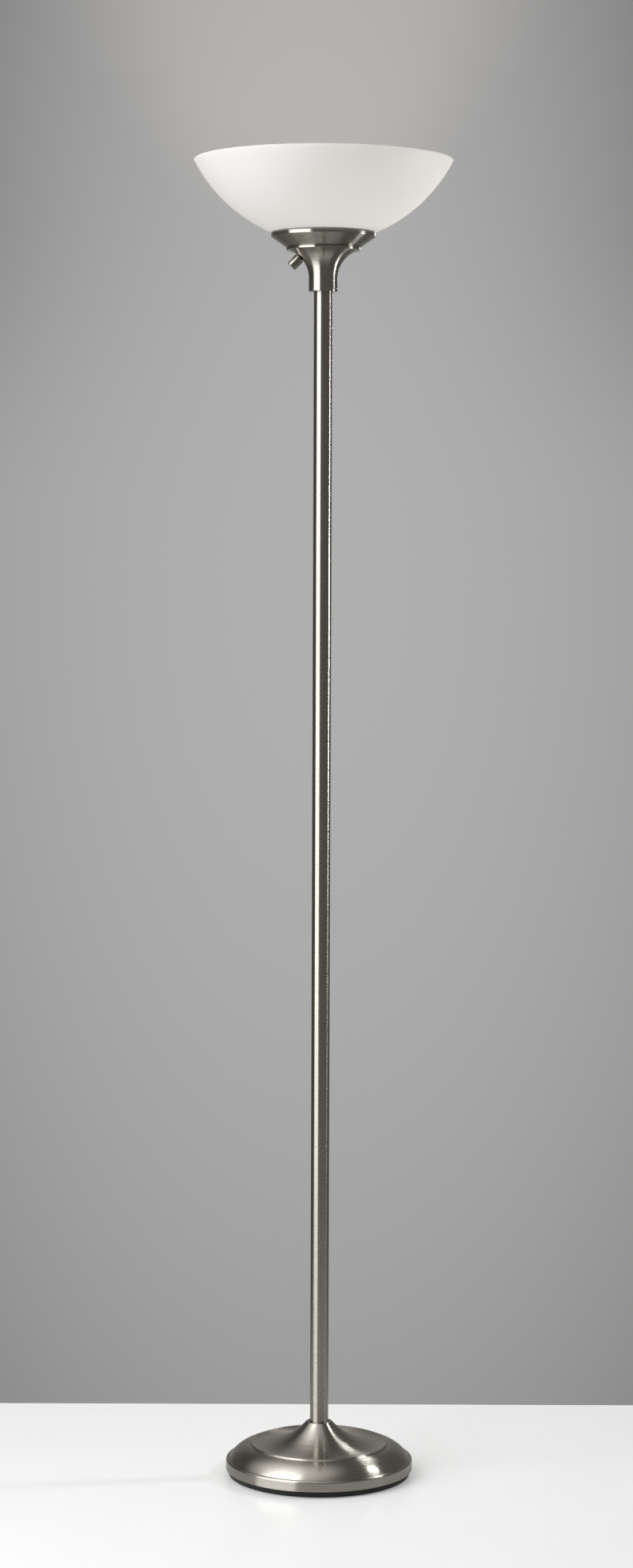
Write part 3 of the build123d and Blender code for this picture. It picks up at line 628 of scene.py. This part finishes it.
def drill(piece, centre, direction, radius, depth, sides=48):
    """Take a straight hole out of a piece."""
    bpy.ops.object.select_all(action="DESELECT")
    turn = Vector(direction).to_track_quat("Z", "Y").to_euler()
    bpy.ops.mesh.primitive_cylinder_add(
        vertices=sides, radius=radius, depth=depth, location=centre, rotation=turn)
    bit = bpy.context.object
    bpy.context.view_layer.objects.active = piece
    bpy.ops.object.modifier_add(type="BOOLEAN")
    cut = piece.modifiers[-1]
    cut.object = bit
    cut.solver = "EXACT"
    bpy.ops.object.modifier_apply(modifier=cut.name)
    bpy.data.objects.remove(bit)


def thicken(piece, wall, side):
    """Give a sheet its wall: side is 1 where its faces point and -1 behind them."""
    bpy.ops.object.modifier_add(type="SOLIDIFY")
    sheet = piece.modifiers[-1]
    sheet.thickness = wall
    sheet.offset = side
    sheet.use_even_offset = True
    bpy.ops.object.modifier_apply(modifier=sheet.name)


def polish(piece):
    """Shade the round stretches smoothly and keep true edges sharp."""
    bpy.ops.object.select_all(action="DESELECT")
    piece.select_set(True)
    bpy.context.view_layer.objects.active = piece
    bpy.ops.object.shade_smooth_by_angle(angle=SMOOTH_ANGLE)
    bpy.ops.object.modifier_add(type="WEIGHTED_NORMAL")
    weighting = piece.modifiers[-1]
    weighting.keep_sharp = True
    bpy.ops.object.modifier_apply(modifier=weighting.name)


print("drill, wall and polish ready")

# %% [markdown]
# The base is a rolled lip round the pole, a hollow cone, a stepped plate, a dome and an upright band with a
# round shoulder. Only its outer face is drawn; Solidify gives the sheet its thickness inwards.

# %% Base shell
base_low, base_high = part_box("base_shell")
base_radius = base_high.x
lip_hole, lip_radius, lip_height = 0.0130, 0.0190, 0.0017
cone_hollow = 0.0096
plate_radius, plate_height, plate_round = 0.0950, 0.0451, 0.0012
step_width, step_height = 0.0010, 0.0022
crease_radius, crease_drop, dome_rise = 0.1254, 0.0003, 0.0041
band_height, shoulder_round = 0.0110, 0.0038
shoulder_top = base_low.z + band_height + shoulder_round
lip_root = base_high.z - lip_height
plate_start = point(plate_radius - plate_round, plate_height)
dome_start = point(plate_radius + step_width, plate_height - step_height)
crease = point(crease_radius, shoulder_top - crease_drop)

base = lathe("base_shell_spun", [
    *swelling(point(lip_hole, lip_root), point(lip_radius, lip_root), lip_height, steps=10),
    *swelling(point(lip_radius, lip_root), plate_start, -cone_hollow, steps=32)[1:],
    *soft_corner(
        plate_start, point(plate_radius, plate_height), point(plate_radius, plate_height - plate_round))[1:],
    *swelling(dome_start, crease, dome_rise, steps=20),
    *soft_corner(
        point(base_radius - shoulder_round, shoulder_top), point(base_radius, shoulder_top),
        point(base_radius, shoulder_top - shoulder_round)),
    point(base_radius, base_low.z),
], SHELL_STEPS)
thicken(base, SHEET, side=-1)
inlet_low, inlet_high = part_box("cord_bushing")
inlet_height = (inlet_low.z + inlet_high.z) / 2
inlet_radius, inlet_depth = 0.0045, 0.016
drill(base, (0, base_radius, inlet_height), (0, 1, 0), inlet_radius, inlet_depth)
polish(base)
stand_for(base, "base_shell")

# %% [markdown]
# The neck is a straight tube with a floor, a flare like a trumpet's bell, and a bead that is crimped over the
# cup. Its outline goes round both faces of the sheet. The switch's hole points along the knob's axis.

# %% Trumpet neck
neck_low, neck_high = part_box("trumpet_neck")
bead_radius, bead_top = neck_high.x, neck_high.z
neck_bore, neck_radius, neck_corner, neck_straight = 0.00505, 0.0198, 0.0008, 0.0183
flare_radius, flare_turn = 0.0390, math.radians(73)
bead_round, bead_height, bead_step = 0.0010, 0.0037, 0.0034
switch_hole, switch_depth = 0.00355, 0.007
bead_low = bead_top - bead_height
crimp_radius = bead_radius - bead_step
flare_centre = point(neck_radius + flare_radius, neck_low.z + neck_straight)
flare_end = math.pi - flare_turn

neck = lathe("trumpet_neck_spun", [
    point(neck_bore, neck_low.z),
    *soft_corner(
        point(neck_radius - neck_corner, neck_low.z), point(neck_radius, neck_low.z),
        point(neck_radius, neck_low.z + neck_corner)),
    *arc(flare_centre, flare_radius, math.pi, flare_end, steps=32),
    *soft_corner(
        point(bead_radius - bead_round, bead_low), point(bead_radius, bead_low),
        point(bead_radius, bead_low + bead_round)),
    *soft_corner(
        point(bead_radius, bead_top - bead_round), point(bead_radius, bead_top),
        point(bead_radius - bead_round, bead_top)),
    point(crimp_radius, bead_top),
    point(crimp_radius, bead_top - SHEET),
    point(bead_radius - SHEET, bead_top - SHEET),
    point(bead_radius - SHEET, bead_low + SHEET),
    *arc(flare_centre, flare_radius + SHEET, flare_end, math.pi, steps=16),
    point(neck_radius - SHEET, neck_low.z + SHEET),
    point(neck_bore, neck_low.z + SHEET),
    point(neck_bore, neck_low.z),
], SHELL_STEPS)
drill(neck, knob_seat, knob_axis, switch_hole, switch_depth)
polish(neck)
stand_for(neck, "trumpet_neck")

# %% [markdown]
# The cup's flange sits in the bead. Above it stand a short throat, a wide cone and an upright lip.

# %% Shade cup
cup_low, cup_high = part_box("shade_cup")
cup_radius, cup_top = cup_high.x, cup_high.z
cup_gap, cup_foot_inset, cup_rise, cup_round = 0.00005, 0.0006, 0.0150, 0.0009
throat = crimp_radius - cup_gap
flange_edge = bead_radius - SHEET - cup_gap
flange_top = cup_low.z + SHEET
cone_foot = bead_radius - cup_foot_inset
cup_floor = bead_top + cup_gap
cone_top = cup_floor + cup_rise
cone_edge = point(cup_radius - cup_round, cone_top - cup_round)
edge_hollow = cup_round / 4

cup = lathe("shade_cup_spun", [
    point(throat - SHEET, cup_low.z),
    point(flange_edge, cup_low.z),
    point(flange_edge, flange_top),
    point(throat, flange_top),
    point(throat, cup_floor),
    point(cone_foot, cup_floor),
    *swelling(cone_edge, point(cup_radius, cone_top), -edge_hollow, steps=6),
    *soft_corner(
        point(cup_radius, cup_top - cup_round), point(cup_radius, cup_top),
        point(cup_radius - cup_round, cup_top)),
    point(cup_radius - SHEET, cup_top),
    point(cup_radius - SHEET, cone_top + SHEET / 2),
    point(cone_foot - SHEET / 2, cup_floor + SHEET),
    point(throat - SHEET, cup_floor + SHEET),
    point(throat - SHEET, cup_low.z),
], SHELL_STEPS)
polish(cup)
stand_for(cup, "shade_cup")

# %% [markdown]
# ## Bulb and socket
# A thread is the same drawing, but the outline is one wave of the thread and the Screw modifier winds it up
# the axis, one wave higher each turn. It starts a little more than one turn too low, so that no vertex lies
# on a cut. A wound tube may come out with its faces turned in or out, so their direction is measured before
# the sheet gets its wall. Two level cuts trim the ends, and a bridge closes each.

# %% Winding a thread
THREAD_PITCH = 0.00363
THREAD_WALL = 0.0003
THREAD_LEAD = 1.01
WAVE_STEPS = 12
TURN_STEPS = 48
CUT_SLACK = 1e-7


def rolled_thread(name, root, crest, low, high, wall_side):
    """A thread rolled into sheet metal between two heights; wall_side is 1 outwards and -1 inwards."""
    start = low - THREAD_PITCH * THREAD_LEAD
    waves = [step / WAVE_STEPS for step in range(WAVE_STEPS + 1)]
    depths = [(1 - math.cos(math.tau * wave)) / 2 for wave in waves]
    piece = draw(name, [
        (root + (crest - root) * depth, start + THREAD_PITCH * wave) for wave, depth in zip(waves, depths)])
    bpy.ops.object.mode_set(mode="OBJECT")
    bpy.ops.object.modifier_add(type="SCREW")
    screw = piece.modifiers[-1]
    screw.screw_offset = THREAD_PITCH
    screw.iterations = math.ceil((high - low) / THREAD_PITCH) + 2
    screw.steps = screw.render_steps = TURN_STEPS
    bpy.ops.object.modifier_apply(modifier=screw.name)
    bpy.ops.object.mode_set(mode="EDIT")
    close_up()
    outwards = sum(face.normal.xy.dot(face.center.xy) for face in piece.data.polygons) > 0
    thicken(piece, THREAD_WALL, wall_side if outwards else -wall_side)
    bpy.ops.object.mode_set(mode="EDIT")
    for height, below in ((low, True), (high, False)):
        bpy.ops.mesh.select_all(action="SELECT")
        bpy.ops.mesh.bisect(
            plane_co=(0, 0, height), plane_no=(0, 0, 1), threshold=CUT_SLACK,
            clear_inner=below, clear_outer=not below)
        bpy.ops.mesh.bridge_edge_loops()
    close_up()
    return piece


print(f"thread of {THREAD_PITCH * 1000:.2f} mm pitch ready")

# %% [markdown]
# The bulb's cap is that thread between a plain collar, which holds the glass, and a coned foot. The socket's
# shell has the same thread, a little wider, so that the cap slides out of it without touching.

# %% Bulb cap and screw shell
cap_low, cap_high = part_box("bulb_cap")
cap_radius = cap_high.x
thread_depth, thread_gap = 0.00065, 0.0001
thread_root = cap_radius - thread_depth
collar_height, collar_lap, collar_rise, collar_drop, collar_inset = 0.0046, 0.0004, 0.0005, 0.0006, 0.0003
foot_height, foot_lap, foot_drop, foot_rise = 0.0020, 0.0003, 0.0006, 0.0005
collar_low = cap_high.z - collar_height
foot_high = cap_low.z + foot_height
foot_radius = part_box("bulb_insulator")[1].x

cap = rolled_thread("bulb_cap_thread", thread_root, cap_radius, foot_high, collar_low, wall_side=-1)
collar = lathe("bulb_cap_collar", [
    (thread_root, collar_low - collar_lap),
    (cap_radius - collar_inset, collar_low),
    (cap_radius, collar_low + collar_rise),
    (cap_radius, cap_high.z - collar_drop),
    (cap_radius - collar_inset, cap_high.z),
    (thread_root, cap_high.z),
    (thread_root, collar_low - collar_lap),
])
cap_foot = lathe("bulb_cap_foot", [
    (0, foot_high + foot_lap),
    (thread_root, foot_high + foot_lap),
    (thread_root, foot_high - foot_drop),
    (thread_root - thread_depth, cap_low.z + foot_rise),
    (foot_radius, cap_low.z),
    (0, cap_low.z),
])
bpy.ops.object.select_all(action="DESELECT")
for piece in (collar, cap_foot, cap):
    piece.select_set(True)
bpy.context.view_layer.objects.active = cap
bpy.ops.object.join()
stand_for(cap, "bulb_cap")

shell_low, shell_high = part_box("socket_screw_shell")
shell_root, shell_crest = cap_radius + thread_gap, shell_high.x - THREAD_WALL
shell = rolled_thread(
    "socket_shell_thread", shell_root, shell_crest, shell_low.z, shell_high.z, wall_side=1)
stand_for(shell, "socket_screw_shell")

# %% [markdown]
# The glass bulb is blown: its neck swells into the globe without an edge, and its wall is thin. The solder on
# the foot of the cap is a flat drop.

# %% Bulb glass and solder
bulb_low, bulb_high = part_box("bulb_envelope")
globe = bulb_high.x
globe_centre = point(0, bulb_high.z - globe)
neck_inset, throat_rise = 0.0008, 0.004
glass_wall, stem_gap = 0.0005, 0.00005
glass_neck = cap_radius - neck_inset
glass_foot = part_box("bulb_stem")[1].x + stem_gap + glass_wall
glass_throat = point(glass_neck, cap_high.z + throat_rise)
reach = glass_throat - globe_centre
leave = math.atan2(reach.y, reach.x) + math.acos(globe / reach.length)
tangent = globe_centre + globe * point(math.cos(leave), math.sin(leave))
glass = lathe("bulb_glass_blown", [
    (glass_foot, bulb_low.z),
    (glass_foot, collar_low),
    *soft_corner(point(glass_neck, cap_high.z), glass_throat, glass_throat.lerp(tangent, 0.5)),
    *arc(globe_centre, globe, leave, math.pi / 2, steps=24)[:-1],
    (0, bulb_high.z),
])
thicken(glass, glass_wall, side=-1)
stand_for(glass, "bulb_envelope")

drop_low, drop_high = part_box("bulb_contact")
drop_depth, drop_steps = drop_high.z - drop_low.z, 8
quarter = [math.pi / 2 * step / drop_steps for step in range(drop_steps + 1)]
drop = lathe("bulb_solder_drop", [
    *[(drop_high.x * math.sin(turn), drop_high.z - drop_depth * math.cos(turn)) for turn in quarter],
    (0, drop_high.z),
])
stand_for(drop, "bulb_contact")

# %% [markdown]
# ## Set screw and felt
# The knob's set screw has a hexagonal key hole. A six-sided cylinder, taken away by a Boolean, cuts it, and
# the screw is then turned to point out of the knob's side.

# %% Set screw
screw_low, screw_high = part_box("knob_set_screw")
screw_radius = screw_high.y
knob_side = Vector((-knob_axis.z, 0, knob_axis.x))
screw_length = ((screw_high - screw_low).x - 2 * screw_radius * abs(knob_side.z)) / abs(knob_side.x)
key_radius = 0.55 * screw_radius
key_depth = 0.3 * screw_length

bpy.ops.object.select_all(action="DESELECT")
bpy.ops.mesh.primitive_cylinder_add(vertices=40, radius=screw_radius, depth=screw_length)
grub = bpy.context.object
grub.name = "knob_grub_screw"
drill(grub, (0, 0, screw_length / 2), (0, 0, 1), key_radius, 2 * key_depth, sides=6)
grub.select_set(True)
grub.rotation_euler = knob_side.to_track_quat("Z", "Y").to_euler()
grub.location = (screw_low + screw_high) / 2
bpy.ops.object.transform_apply(location=True, rotation=True, scale=True)
bpy.ops.object.shade_smooth_by_angle(angle=SMOOTH_ANGLE)
stand_for(grub, "knob_set_screw")

# %% [markdown]
# The felt under the base is cut from soft stuff, so its edge is round.

# %% Felt
felt_low, felt_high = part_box("felt_pad")
felt_radius = felt_high.x
edge = (felt_high.z - felt_low.z) / 2
felt = lathe("felt_disc", [
    (0, felt_low.z),
    *arc(point(felt_radius - edge, edge), edge, -math.pi / 2, math.pi / 2, steps=8),
    (0, felt_high.z),
])
stand_for(felt, "felt_pad")
